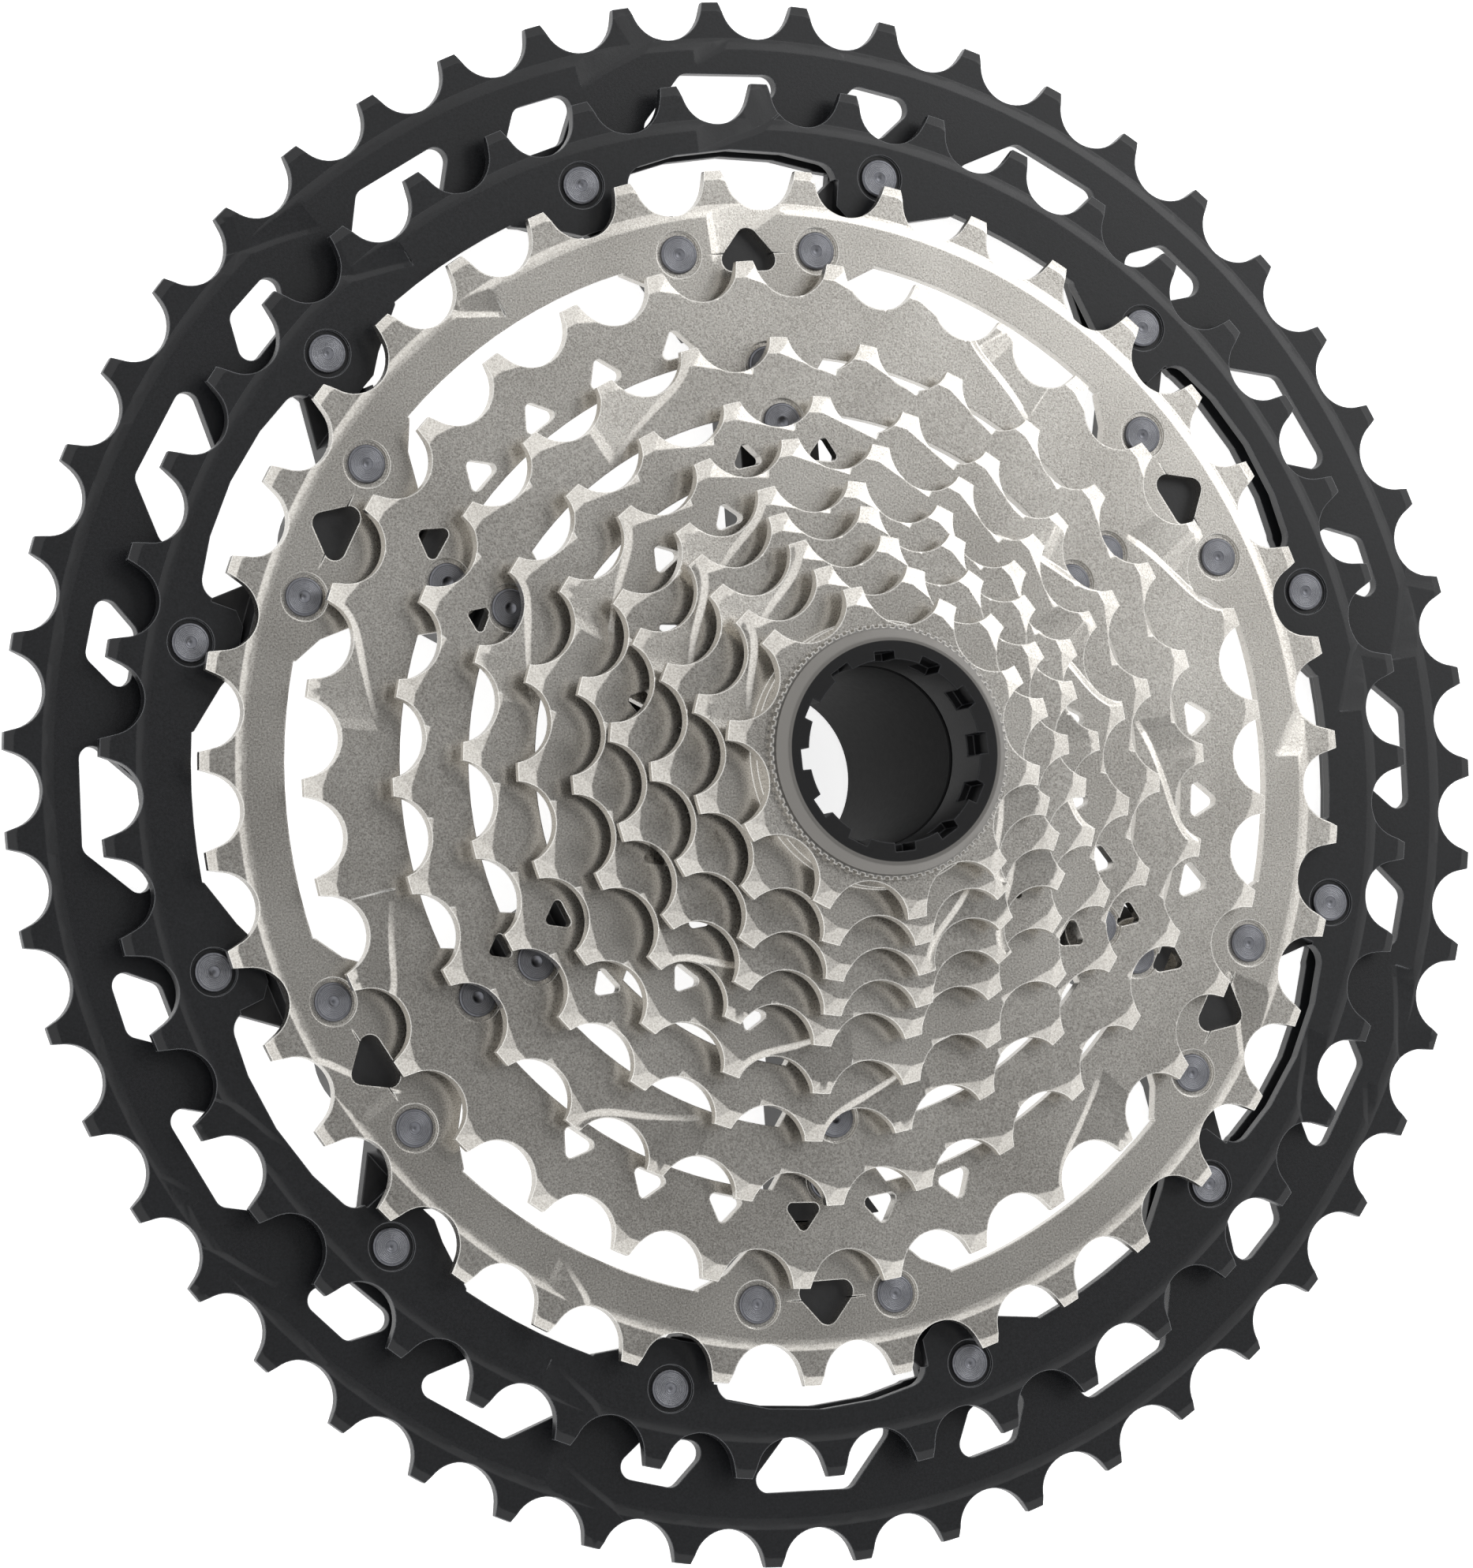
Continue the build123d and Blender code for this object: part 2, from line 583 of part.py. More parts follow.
# ---------------------------------------------------------------- rivets
def rivet_set(name, radius, angles, tail_z, front, tail_sunk):
    """Identical solid rivets: dimpled head flush with the front, shank, and set tail."""
    tail_top = tail_z if tail_sunk else tail_z - RIVET_HEAD_T
    with BuildPart() as rivets:
        with BuildSketch(Plane.XY.offset(front - RIVET_MOAT_DEPTH)):
            with at_angles(radius, angles):
                Circle(RIVET_HEAD_R)
        extrude(amount=RIVET_MOAT_DEPTH)
        with BuildSketch(Plane.XY.offset(tail_top)):
            with at_angles(radius, angles):
                Circle(RIVET_SHANK_R)
        extrude(amount=front - RIVET_MOAT_DEPTH - tail_top)
        with BuildSketch(Plane.XY.offset(tail_top)):
            with at_angles(radius, angles):
                Circle(RIVET_HEAD_R)
        extrude(amount=RIVET_HEAD_T)
        with BuildSketch(Plane.XY.offset(front)):
            with at_angles(radius, angles):
                Circle(RIVET_DIMPLE_R)
        extrude(amount=-0.25, mode=Mode.SUBTRACT)
    finish(rivets.part, name)


rivet_set("rivets_45t", rivet_r(45), pair_angles(R45_SPREAD), 0, front_z(45), True)
rivet_set("rivets_39t", rivet_r(39), pair_angles(R39_SPREAD), SEATS[4][3], front_z(39), False)
rivet_set("rivets_33t", rivet_r(33), arm_angles(), SEATS[3][3], front_z(33), False)
rivet_set("rivets_28t", rivet_r(28), arm_angles(), SEATS[2][3], front_z(28), False)
rivet_set("rivets_24t", rivet_r(24), arm_angles(), SEATS[1][3], front_z(24), False)

# ---------------------------------------------------------------- lockring washer
WASHER_REAR_Z = front_z(10)
FLANGE_REAR_Z = WASHER_REAR_Z + WASHER_T
FLANGE_FRONT_Z = FLANGE_REAR_Z + LOCKRING_FLANGE_T

with BuildPart() as lockring_washer:
    with BuildSketch(Plane.XY.offset(WASHER_REAR_Z)):
        Circle(WASHER_R)
        Circle(SMALL_BORE_R, mode=Mode.SUBTRACT)
        with PolarLocations(WASHER_R, WASHER_RIBS):
            Rectangle(2 * WASHER_RIB_DEPTH, math.pi * WASHER_R / WASHER_RIBS, mode=Mode.SUBTRACT)
    extrude(amount=WASHER_T)
finish(lockring_washer.part, "lockring_washer")

# ---------------------------------------------------------------- lockring
LOCKRING_TUBE_END_Z = FLANGE_REAR_Z - LOCKRING_TUBE_LENGTH

with BuildPart() as lockring:
    with BuildSketch(Plane.XY.offset(LOCKRING_TUBE_END_Z)):
        Circle(LOCKRING_THREAD_R)
    extrude(amount=LOCKRING_TUBE_LENGTH)
    with BuildSketch(Plane.XY.offset(FLANGE_REAR_Z)):
        Circle(LOCKRING_FLANGE_R)
    extrude(amount=LOCKRING_FLANGE_T)
    rim = lockring.faces().sort_by(Axis.Z)[-1].edges()
    chamfer(rim, length=LOCKRING_FLANGE_T * 0.75, length2=LOCKRING_BEVEL)
    with BuildSketch(Plane.XY.offset(LOCKRING_TUBE_END_Z)):
        Circle(LOCKRING_BORE_R)
    extrude(amount=FLANGE_FRONT_Z - LOCKRING_TUBE_END_Z, mode=Mode.SUBTRACT)
    with BuildSketch(Plane.XY.offset(FLANGE_FRONT_Z)):
        with PolarLocations(0, NOTCHES, start_angle=NOTCH_FIRST):
            with Locations((LOCKRING_BORE_R - 0.4, 0)):
                Rectangle(NOTCH_R - LOCKRING_BORE_R + 0.4, NOTCH_WIDTH, align=(Align.MIN, Align.CENTER))
    extrude(amount=-NOTCH_DEPTH, mode=Mode.SUBTRACT)
finish(lockring.part, "lockring")

# ---------------------------------------------------------------- transit sleeve
SLEEVE_FRONT_Z = rear_z(10) - SLEEVE_FRONT_SETBACK
SOCKET_FLOOR_Z = LOCKRING_TUBE_END_Z - LOCKRING_SOCKET_GAP
SLEEVE_COLLAR_TOP_Z = HUB_REAR_Z - SLEEVE_COLLAR_FIT

with BuildPart() as transit_sleeve:
    with BuildSketch(Plane.XY.offset(SLEEVE_REAR_Z)):
        Circle(SPLINE_ROOT_R)
        with PolarLocations(SPLINE_ROOT_R - 1, SPLINES, start_angle=FIRST_ARM):
            Rectangle(SPLINE_CREST_R - SPLINE_ROOT_R + 1, SPLINE_WIDTH, align=(Align.MIN, Align.CENTER))
    extrude(amount=SLEEVE_FRONT_Z - SLEEVE_REAR_Z)
    with BuildSketch(Plane.XY.offset(SLEEVE_REAR_Z)):
        Circle(SLEEVE_COLLAR_R)
    extrude(amount=SLEEVE_COLLAR_TOP_Z - SLEEVE_REAR_Z)
    with BuildSketch(Plane.XY.offset(SLEEVE_REAR_Z)):
        Circle(SLEEVE_BORE_R)
    extrude(amount=SLEEVE_FRONT_Z - SLEEVE_REAR_Z, mode=Mode.SUBTRACT)
    with BuildSketch(Plane.XY.offset(SOCKET_FLOOR_Z)):
        Circle(LOCKRING_THREAD_R + LOCKRING_THREAD_FIT)
    extrude(amount=SLEEVE_FRONT_Z - SOCKET_FLOOR_Z, mode=Mode.SUBTRACT)
    slot_height = SLEEVE_SLOT_TOP_Z - SLEEVE_REAR_Z
    with Locations(Location((0, 0, SLEEVE_REAR_Z + slot_height / 2), (0, 0, SLEEVE_SLOT_ANGLE))):
        Box(SLEEVE_COLLAR_R + 1, SLEEVE_SLOT_WIDTH, slot_height,
            align=(Align.MIN, Align.CENTER, Align.CENTER), mode=Mode.SUBTRACT)
finish(transit_sleeve.part, "transit_sleeve")
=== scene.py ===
# %% [markdown]
# # A twelve-speed bicycle cassette
# The real thing is a cone of toothed plates. Two large black aluminium sprockets and four steel
# ones are riveted to a black six-armed spider, the small steel ones slide on a splined tube with
# spacers between them, and a lockring screws down on top. The CAD model is loaded first. It gives
# every size and place here, and nothing may leave its box.

# %% Load the CAD frame
import math

import bmesh
import bpy
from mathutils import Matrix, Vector


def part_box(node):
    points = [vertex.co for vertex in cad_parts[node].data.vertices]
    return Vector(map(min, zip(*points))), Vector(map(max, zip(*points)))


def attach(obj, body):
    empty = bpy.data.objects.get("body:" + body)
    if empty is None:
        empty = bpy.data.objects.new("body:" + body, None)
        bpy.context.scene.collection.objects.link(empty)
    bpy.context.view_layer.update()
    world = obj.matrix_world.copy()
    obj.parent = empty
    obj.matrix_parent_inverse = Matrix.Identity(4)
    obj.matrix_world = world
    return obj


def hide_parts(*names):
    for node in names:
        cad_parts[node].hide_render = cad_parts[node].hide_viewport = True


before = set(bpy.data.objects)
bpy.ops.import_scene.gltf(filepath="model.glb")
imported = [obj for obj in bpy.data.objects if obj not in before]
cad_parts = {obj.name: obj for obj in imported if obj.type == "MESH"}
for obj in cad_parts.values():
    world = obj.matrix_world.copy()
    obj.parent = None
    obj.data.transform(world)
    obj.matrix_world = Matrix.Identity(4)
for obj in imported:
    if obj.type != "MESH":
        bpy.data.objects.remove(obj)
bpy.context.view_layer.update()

MM = 0.001
print("CAD nodes:", len(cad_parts))

# %% [markdown]
# ## Camera
# The cassette lies on its rear face with its axle upright, so a camera high above and a little to
# the left looks down into the cone. A long lens about a metre away keeps the plates nearly round.

# %% Camera
camera_data = bpy.data.cameras.new("camera")
camera_data.lens = 170.4
camera_data.sensor_width = 36
camera_data.sensor_fit = "AUTO"
camera_data.shift_x = 0.0029
camera_data.shift_y = -0.0304
camera = bpy.data.objects.new("camera", camera_data)
camera.location = (-0.35896, -0.05211, 0.91728)
camera.rotation_euler = [math.radians(a) for a in (5.0146, -20.8589, -4.5692)]
bpy.context.scene.collection.objects.link(camera)
bpy.context.scene.camera = camera
print("camera at", tuple(round(v, 3) for v in camera.location))

# %% [markdown]
# ## Small helpers
# A material is a graph of nodes. One helper adds any node with its settings and links, and one
# turns an ordinary hex colour into the linear light values that Blender mixes.


# %% Helpers for nodes and colours
def linear(hex_colour):
    """An sRGB hex colour as linear red, green, blue and alpha."""
    values = [int(hex_colour[i:i + 2], 16) / 255 for i in (1, 3, 5)]
    return [v / 12.92 if v <= 0.04045 else ((v + 0.055) / 1.055) ** 2.4 for v in values] + [1.0]


def node(tree, kind, inputs=None, **settings):
    """Adds a node; each input is a plain value or a socket to link from."""
    made = tree.nodes.new(kind)
    for name, value in settings.items():
        setattr(made, name, value)
    for name, value in (inputs or {}).items():
        if isinstance(value, bpy.types.NodeSocket):
            tree.links.new(value, made.inputs[name])
        else:
            made.inputs[name].default_value = value
    return made


def new_material(name, roughness, metallic):
    """A node material with its shader, its object coordinates and its tree."""
    material = bpy.data.materials.new(name)
    material.use_nodes = True
    tree = material.node_tree
    shader = tree.nodes["Principled BSDF"]
    shader.inputs["Roughness"].default_value = roughness
    shader.inputs["Metallic"].default_value = metallic
    place = tree.nodes.new("ShaderNodeTexCoord").outputs["Object"]
    return material, tree, shader, place


# %% [markdown]
# ## Blasted, nickel-plated steel
# The steel sprockets are stamped, bead-blasted and nickel plated. Blasting leaves thousands of tiny
# dents, so the metal looks like fine grey sand and scatters light softly. The edges get a painted
# highlight: a near-white colour mixed in where a rounded edge turns from the face. Grains are
# about 0.2 mm, drawn a little coarser than the real 0.1 mm so that they show.


# %% Blasted metals
EDGE_RADIUS_MM = 0.24
# the painted edge highlight fades in between these two cosines
HIGHLIGHT_STARTS, HIGHLIGHT_FULL = 0.97, 0.80   # cosine between the flat face and its rounded edge


def blasted_metal(name, dark, light, edge, grain_mm, roughness, metallic, dent, highlight_strength=0.9,
                  gloss=0.5):
    """A bead-blasted metal: sandy colour noise, fine dents and a painted highlight colour along its
    edges.
    """
    material, tree, shader, place = new_material(name, roughness, metallic)
    shader.inputs["Specular IOR Level"].default_value = gloss
    grain = node(tree, "ShaderNodeTexNoise",
                 {"Vector": place, "Scale": 1 / (grain_mm * MM), "Detail": 3.0, "Roughness": 0.7})
    cloud = node(tree, "ShaderNodeTexNoise", {"Vector": place, "Scale": 60.0, "Detail": 2.0})
    blend = node(tree, "ShaderNodeMath", {0: grain.outputs["Fac"], 1: 0.75}, operation="MULTIPLY")
    both = node(tree, "ShaderNodeMath", {0: cloud.outputs["Fac"], 1: 0.25, 2: blend.outputs[0]},
                operation="MULTIPLY_ADD")
    sand = node(tree, "ShaderNodeValToRGB", {"Fac": both.outputs[0]})
    sand.color_ramp.elements[0].position = 0.36
    sand.color_ramp.elements[0].color = linear(dark)
    sand.color_ramp.elements[1].position = 0.66
    sand.color_ramp.elements[1].color = linear(light)
    rounded = node(tree, "ShaderNodeBevel", {"Radius": EDGE_RADIUS_MM * MM}, samples=4)
    shape = node(tree, "ShaderNodeNewGeometry")
    agree = node(tree, "ShaderNodeVectorMath", {0: rounded.outputs[0], 1: shape.outputs["Normal"]},
                 operation="DOT_PRODUCT")
    # painted highlight: the light edge colour is mixed in where the rounded normal leaves the true one
    painted_highlight = node(tree, "ShaderNodeMapRange",
                {"Value": agree.outputs["Value"], "From Min": HIGHLIGHT_STARTS,
                 "From Max": HIGHLIGHT_FULL, "To Max": highlight_strength})
    colour = node(tree, "ShaderNodeMix", {"Factor": painted_highlight.outputs[0], 6: sand.outputs["Color"],
                                          7: linear(edge)}, data_type="RGBA")
    tree.links.new(colour.outputs[2], shader.inputs["Base Color"])
    rough = node(tree, "ShaderNodeMapRange",
                 {"Value": grain.outputs["Fac"], "To Min": roughness - 0.06, "To Max": roughness + 0.08})
    tree.links.new(rough.outputs[0], shader.inputs["Roughness"])
    bump = node(tree, "ShaderNodeBump", {"Height": grain.outputs["Fac"], "Distance": dent * MM,
                                         "Strength": 0.6, "Normal": rounded.outputs[0]})
    tree.links.new(bump.outputs["Normal"], shader.inputs["Normal"])
    return material


# the third colour is the painted edge highlight
nickel_steel = blasted_metal("blasted_nickel_steel", "#A39F99", "#DAD7D1", "#FBFAF6",
                             0.24, 0.27, 1.0, 0.018)
print("material", nickel_steel.name)

# %% [markdown]
# ## Black anodised aluminium
# The two largest sprockets are milled from aluminium, blasted, then anodised black. The oxide is
# thin and hard: charcoal rather than true black, with a satin highlight on every rounded ridge and
# a few bright specks where the blasting shows through. The ridge highlight is partly the shading of
# the rounded edges and partly a painted highlight: a light grey mixed into the colour along every edge.

# %% Black metals
# the third colour of each is a painted edge highlight
black_anodised = blasted_metal("black_anodised_aluminium", "#0B0C0E", "#131417", "#8E9094",
                               0.35, 0.34, 0.0, 0.014, 0.6, gloss=0.38)
black_paint = blasted_metal("black_painted_spider", "#08080A", "#111113", "#2A2B2E",
                            0.5, 0.42, 0.0, 0.02)
lockring_black = blasted_metal("lockring_black_anodised", "#050506", "#08080A", "#606266",
                               0.3, 0.42, 0.0, 0.008, 0.5, gloss=0.25)

# %% [markdown]
# ## Bare rim of the lockring
# The lockring is anodised deep black, but its slanted rim is machined bare afterwards, so a satin
# grey band rings the dark face. A mask on the distance from the axle swaps one finish for the other.

# %% Bare rim
BARE_FROM_MM = 14.1
RIM_BLEND_MM = 0.05


def bare_rim(material, radius_mm, colour):
    """Turns the coating off outside a radius, which leaves a satin machined rim."""
    tree = material.node_tree
    shader = tree.nodes["Principled BSDF"]
    coated = shader.inputs["Base Color"].links[0].from_socket
    place = node(tree, "ShaderNodeTexCoord").outputs["Object"]
    flat = node(tree, "ShaderNodeVectorMath", {0: place, 1: (1, 1, 0)}, operation="MULTIPLY")
    radius = node(tree, "ShaderNodeVectorMath", {0: flat.outputs[0]}, operation="LENGTH")
    bare = node(tree, "ShaderNodeMapRange", {"Value": radius.outputs["Value"],
                                             "From Min": (radius_mm - RIM_BLEND_MM) * MM,
                                             "From Max": (radius_mm + RIM_BLEND_MM) * MM})
    colours = node(tree, "ShaderNodeMix", {"Factor": bare.outputs[0], 6: coated, 7: linear(colour)},
                   data_type="RGBA")
    tree.links.new(colours.outputs[2], shader.inputs["Base Color"])
    tree.links.new(bare.outputs[0], shader.inputs["Metallic"])


bare_rim(lockring_black, BARE_FROM_MM, "#6E6C69")
print("materials", black_anodised.name, black_paint.name, lockring_black.name)

# %% [markdown]
# ## Rivets, washer and plastics
# The rivets are dark plated steel with a nearly even colour. The washer is ground steel with a
# satin shine. The spacers are moulded plastic, dull black between the bright plates. The sleeve is
# moulded with hardly any gloss, so its bore reads as a dark tube.

# %% Rivet, washer and plastic finishes
# the third colour of each finish is a painted edge highlight
rivet_steel = blasted_metal("dark_plated_rivet_steel", "#5E5F64", "#707176", "#A8A9AC",
                            0.4, 0.36, 1.0, 0.006)
washer_steel = blasted_metal("satin_washer_steel", "#8F8D8A", "#ABA9A5", "#DAD8D4",
                             0.3, 0.3, 1.0, 0.008)
spacer_plastic = blasted_metal("black_moulded_spacer_plastic", "#0C0C0D", "#151516", "#262628",
                               0.6, 0.5, 0.0, 0.02)
sleeve_plastic = blasted_metal("black_moulded_sleeve_plastic", "#050506", "#0B0B0C", "#242426",
                               0.8, 0.6, 0.0, 0.012, gloss=0.15)
print("materials", rivet_steel.name, washer_steel.name, spacer_plastic.name, sleeve_plastic.name)


# %% [markdown]
# ## Working copies
# A CAD node stays as it is. Where a plate needs finer shapes, a copy is taken, its loose triangles
# are merged into one skin, and modifiers work on that. The result is baked to a plain mesh.


# %% Copy, bake and finish helpers
def merged_copy(node_name, name):
    """A copy of a CAD node as one closed skin."""
    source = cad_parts[node_name].data
    mesh = bpy.data.meshes.new(name)
    skin = bmesh.new()
    skin.from_mesh(source)
    for layer in list(skin.loops.layers.float_vector):
        skin.loops.layers.float_vector.remove(layer)
    bmesh.ops.remove_doubles(skin, verts=skin.verts, dist=0.002 * MM)
    skin.to_mesh(mesh)
    skin.free()
    copy = bpy.data.objects.new(name, mesh)
    bpy.context.scene.collection.objects.link(copy)
    return copy


def evaluated_mesh(obj):
    """The plain mesh that an object's modifiers make; the modifiers are then removed."""
    graph = bpy.context.evaluated_depsgraph_get()
    mesh = bpy.data.meshes.new_from_object(obj.evaluated_get(graph))
    obj.modifiers.clear()
    obj.data = mesh
    return mesh


def crease_flat_faces(mesh):
    """Keeps level faces truly flat: every edge between one and a sloping face becomes sharp."""
    skin = bmesh.new()
    skin.from_mesh(mesh)
    for edge in skin.edges:
        level = [abs(face.normal.z) > 0.99999 for face in edge.link_faces]
        if any(level) and not all(level):
            edge.smooth = False
    skin.to_mesh(mesh)
    skin.free()


def baked(obj, material, sharp=12):
    """Bakes an object: one material, sharp where faces meet at an angle, flat faces kept flat."""
    mesh = evaluated_mesh(obj)
    mesh.materials.clear()
    mesh.materials.append(material)
    mesh.polygons.foreach_set("material_index", [0] * len(mesh.polygons))
    mesh.polygons.foreach_set("use_smooth", [True] * len(mesh.polygons))
    mesh.set_sharp_from_angle(angle=math.radians(sharp))
    crease_flat_faces(mesh)
    evened = obj.modifiers.new("even_shading", "WEIGHTED_NORMAL")
    evened.keep_sharp = True
    evaluated_mesh(obj)
    return obj


def soften(obj, width_mm, segments=2, angle=25):
    """Joins flat triangles into whole faces, then rounds the hard edges a little."""
    joined = obj.modifiers.new("whole_faces", "DECIMATE")
    joined.decimate_type = "DISSOLVE"
    joined.angle_limit = math.radians(0.8)
    rounding = obj.modifiers.new("rounded_edges", "BEVEL")
    rounding.width = width_mm * MM
    rounding.segments = segments
    rounding.limit_method = "ANGLE"
    rounding.angle_limit = math.radians(angle)
    rounding.use_clamp_overlap = True
    return obj


# %% [markdown]
# ## Tooth facets
# Every tooth carries a slanted facet on the front of its tip, which helps the chain settle. The
# same small wedge is cut from every tooth, so Geometry Nodes places one wedge per tooth round the
# axle and takes them all away in one boolean.


# %% Geometry Nodes tree for the tooth facets
WEDGE_SIZE = (0.012, 0.016, 0.006)    # metres: long and wide enough to clear a tooth
WEDGE_CENTRE = (0.005, 0, 0.003)      # puts the lower inner edge just behind the facet's start


def facet_tree():
    """A tree that cuts one tilted facet from the front of each tooth."""
    tree = bpy.data.node_groups.new("tooth_facets", "GeometryNodeTree")
    sockets = tree.interface
    sockets.new_socket("Geometry", in_out="INPUT", socket_type="NodeSocketGeometry")
    sockets.new_socket("Teeth", in_out="INPUT", socket_type="NodeSocketInt")
    for name in ("First Angle", "Facet Radius", "Front Height", "Drop", "Skew"):
        sockets.new_socket(name, in_out="INPUT", socket_type="NodeSocketFloat")
    sockets.new_socket("Material", in_out="INPUT", socket_type="NodeSocketMaterial")
    sockets.new_socket("Geometry", in_out="OUTPUT", socket_type="NodeSocketGeometry")
    given = tree.nodes.new("NodeGroupInput").outputs
    block = node(tree, "GeometryNodeMeshCube", {"Size": WEDGE_SIZE})
    lifted = node(tree, "GeometryNodeTransform",
                  {"Geometry": block.outputs["Mesh"], "Translation": WEDGE_CENTRE})
    dropped = node(tree, "ShaderNodeCombineXYZ", {"Y": given["Drop"]})
    tilted = node(tree, "GeometryNodeTransform",
                  {"Geometry": lifted.outputs[0], "Rotation": dropped.outputs[0]})
    skewed = node(tree, "ShaderNodeCombineXYZ", {"Z": given["Skew"]})
    turned = node(tree, "GeometryNodeTransform",
                  {"Geometry": tilted.outputs[0], "Rotation": skewed.outputs[0]})
    spot = node(tree, "ShaderNodeCombineXYZ", {"X": given["Facet Radius"], "Z": given["Front Height"]})
    placed = node(tree, "GeometryNodeTransform",
                  {"Geometry": turned.outputs[0], "Translation": spot.outputs[0]})
    points = node(tree, "GeometryNodePoints", {"Count": given["Teeth"]})
    number = node(tree, "GeometryNodeInputIndex")
    share = node(tree, "ShaderNodeMath", {0: number.outputs[0], 1: given["Teeth"]}, operation="DIVIDE")
    angle = node(tree, "ShaderNodeMath", {0: share.outputs[0], 1: 2 * math.pi, 2: given["First Angle"]},
                 operation="MULTIPLY_ADD")
    around = node(tree, "ShaderNodeCombineXYZ", {"Z": angle.outputs[0]})
    wedges = node(tree, "GeometryNodeInstanceOnPoints",
                  {"Points": points.outputs[0], "Instance": placed.outputs[0],
                   "Rotation": around.outputs[0]})
    real = node(tree, "GeometryNodeRealizeInstances", {"Geometry": wedges.outputs[0]})
    cut = node(tree, "GeometryNodeMeshBoolean", {"Mesh 1": given["Geometry"]}, operation="DIFFERENCE",
               solver="MANIFOLD")
    tree.links.new(real.outputs[0], cut.inputs["Mesh 2"])
    whole = node(tree, "GeometryNodeRealizeInstances", {"Geometry": cut.outputs["Mesh"]})
    coated = node(tree, "GeometryNodeSetMaterial",
                  {"Geometry": whole.outputs[0], "Material": given["Material"]})
    out = tree.nodes.new("NodeGroupOutput")
    tree.links.new(coated.outputs[0], out.inputs["Geometry"])
    return tree


def add_tree(obj, tree, **values):
    """Adds a Geometry Nodes modifier and sets its named inputs by their sockets' identifiers."""
    modifier = obj.modifiers.new(tree.name, "NODES")
    modifier.node_group = tree
    for item in tree.interface.items_tree:
        key = item.name.replace(" ", "_").lower()
        if item.in_out == "INPUT" and key in values:
            modifier[item.identifier] = values[key]
    return modifier


tooth_facets = facet_tree()
print("tree", tooth_facets.name, "nodes", len(tooth_facets.nodes))

# %% [markdown]
# ## Shift ramps
# A chain climbs from a small sprocket to a larger one over ramps: shallow pockets in the front of a
# plate, with a soft curved wall that runs down beside a tooth and then along the plate. Each pocket
# is deepest beside the tooth and fades out. A cutter with that shape is drawn as a strip of cross
# sections and cut away.


# %% Ramp cutters
def bezier(points, t):
    """A point on a cubic curve through angle and radius."""
    a, b, c, d = points
    s = 1 - t
    return [s ** 3 * a[i] + 3 * s * s * t * b[i] + 3 * s * t * t * c[i] + t ** 3 * d[i] for i in (0, 1)]


# how far the wall stands back from its foot, and how deep it is there, from top to foot
RAMP_WALL = ((0.95, 0.0), (0.72, 0.12), (0.45, 0.38), (0.2, 0.75), (0.0, 1.0))
RAMP_STEPS = 18
RAMP_FADE = 0.7              # power by which a ramp grows shallow along its length
RAMP_CLEAR = 1.0             # height of a cutter above the front face


def ramp_cutter(skin, front, tip, root, start, sweep, end_radius, depth):
    """Adds one ramp cutter to a mesh: sweep is its length in degrees, negative when clockwise."""
    line = [(0, tip + 1.2), (0.02 * sweep, root - 0.6), (0.38 * sweep, root - 0.2), (sweep, end_radius)]
    rows = []
    for i in range(RAMP_STEPS + 1):
        t = i / RAMP_STEPS
        turn, radius = bezier(line, t)
        before, after = bezier(line, max(0, t - 0.01)), bezier(line, min(1, t + 0.01))
        along = Vector(((after[0] - before[0]) * math.radians(1) * radius, after[1] - before[1]))
        along.normalize()
        away = Vector((-along.y, along.x)) * (-1 if sweep > 0 else 1)
        deep = depth * (1 - t) ** RAMP_FADE + 0.002
        section = []
        for share, drop in RAMP_WALL:
            section.append((start + turn + math.degrees(away.x * share / radius),
                            radius + away.y * share, front - deep * drop))
        outer_angle = start + sweep * t
        outer = tip + 1.6
        section[0] = (*section[0][:2], front + 0.02)
        section += [(outer_angle, outer, front - deep), (outer_angle, outer, front + RAMP_CLEAR),
                    (*section[0][:2], front + RAMP_CLEAR)]
        rows.append([skin.verts.new((r * MM * math.cos(math.radians(a)),
                                     r * MM * math.sin(math.radians(a)), z * MM))
                     for a, r, z in section])
    count = len(rows[0])
    for one, two in zip(rows, rows[1:]):
        for k in range(count):
            skin.faces.new((one[k], one[(k + 1) % count], two[(k + 1) % count], two[k]))
    skin.faces.new(rows[0])
    skin.faces.new(rows[-1][::-1])


def ramp_set(name, front, tip, root, ramps):
    """One object with all the ramp cutters of a sprocket."""
    skin = bmesh.new()
    for start, sweep, end_radius, depth in ramps:
        ramp_cutter(skin, front, tip, root, start, sweep, end_radius, depth)
    bmesh.ops.recalc_face_normals(skin, faces=skin.faces)
    mesh = bpy.data.meshes.new(name)
    skin.to_mesh(mesh)
    skin.free()
    cutter = bpy.data.objects.new(name, mesh)
    bpy.context.scene.collection.objects.link(cutter)
    return cutter


# %% [markdown]
# ## Sprockets
# Each sprocket keeps its exact CAD outline and gets tooth facets, shift ramps and softly broken
# edges. The table gives, for every sprocket, its teeth, the angle of one tooth, and its ramps as
# start angle, length in degrees, radius where it fades, and depth in millimetres.

# %% Sprocket table
CHAIN_PITCH = 12.7
SEAT = 3.97
PLATE = 1.8
BLACK_ABOVE = 40             # sprockets with more teeth than this are black aluminium
FACET_LENGTH = 2.3
FACET_DROP = 15
FACET_SKEW = -22


def every(step, *ramps):
    """Repeats ramps round the axle."""
    return [(start + step * i, sweep, radius, depth)
            for i in range(round(360 / step)) for start, sweep, radius, depth in ramps]


